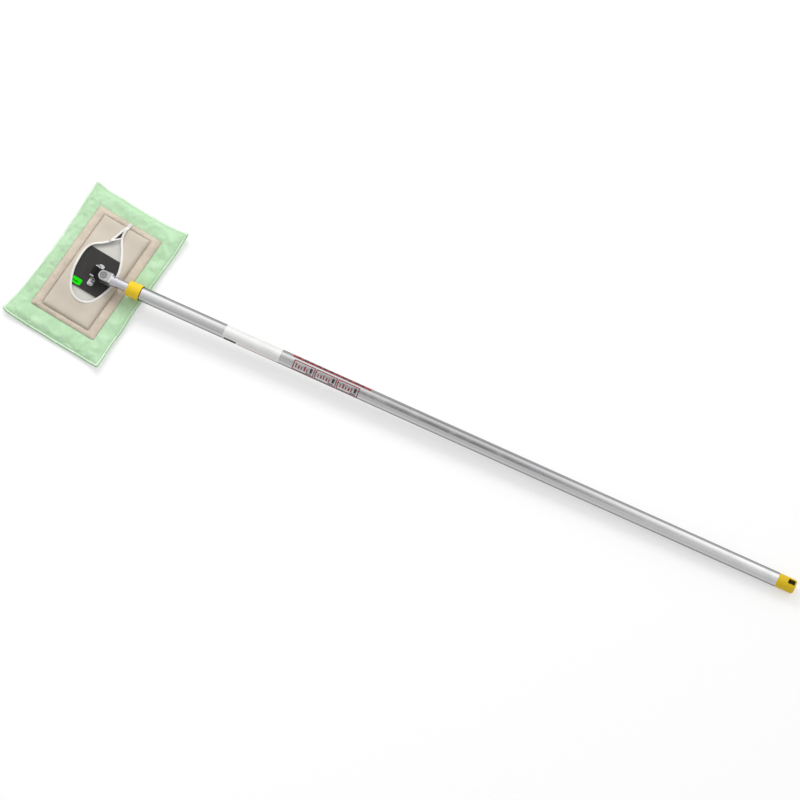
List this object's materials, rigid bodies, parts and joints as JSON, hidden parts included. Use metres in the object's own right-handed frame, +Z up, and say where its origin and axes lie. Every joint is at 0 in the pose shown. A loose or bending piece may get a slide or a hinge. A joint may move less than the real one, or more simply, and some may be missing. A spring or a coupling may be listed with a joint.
{
  "type": "flat mop",
  "caption": "Flat mop: a plate in a soft pocket cloth with a drop-shaped bound opening, a two-axis joint, and a straight aluminium pole with a hanging cap.",
  "frame": {"origin": "centre of the cloth's sole, on the floor", "axes": "+X along the head, +Y from the head towards the handle, +Z up"},
  "size_m": [0.3088, 1.4179, 0.0469],
  "materials": {
    "green_cloth": "soft brushed microfibre",
    "border_fabric": "padded knit",
    "panel_fabric": "smooth stretch knit",
    "white_tape": "woven elastic tape",
    "stud_steel": "plated",
    "white_plastic": "moulded",
    "black_plastic": "moulded, fine grain",
    "green_label": "film",
    "bracket_steel": "bright plated",
    "screw_steel": "plain",
    "knuckle_plastic": "moulded",
    "cast_aluminium": "cast, blasted",
    "neck_aluminium": "satin",
    "yellow_plastic": "moulded",
    "pole_aluminium": "satin anodised, drawn lengthwise"
  },
  "bodies": {
    "head": {"wiping_cloth": "green_cloth", "backing_cloth": "green_cloth", "pocket_border": "border_fabric", "pocket_panel": "panel_fabric", "opening_binding": "white_tape", "closure_strap": "white_tape", "press_stud": "stud_steel", "base_plate": "white_plastic", "centre_plate": "black_plastic", "plate_label": "green_label", "bracket_left": "bracket_steel", "bracket_right": "bracket_steel", "bracket_screws": "bracket_steel", "bracket_nuts": "screw_steel", "hinge_pin": "screw_steel", "pin_ring": "screw_steel"},
    "knuckle": {"knuckle": "knuckle_plastic", "thrust_washers": "white_plastic"},
    "handle": {"clevis": "cast_aluminium", "pivot_screw": "screw_steel", "pivot_nut": "screw_steel", "neck_rod": "neck_aluminium", "neck_pin": "screw_steel", "collar": "yellow_plastic", "pole_plug": "black_plastic", "pole_tube": "pole_aluminium", "end_cap": "yellow_plastic"}
  },
  "joints": [
    {"name": "head_tilt", "type": "hinge", "parent": "head", "child": "knuckle", "pos_m": [0.007, 0.0035, 0.034], "axis": [1, 0, 0], "range_deg": [0, 178.1]},
    {"name": "handle_swing", "type": "hinge", "parent": "knuckle", "child": "handle", "pos_m": [0.007, 0.0225, 0.03369], "axis": [0, 0.0164, 0.9999], "range_deg": [-82, 68]}
  ]
}
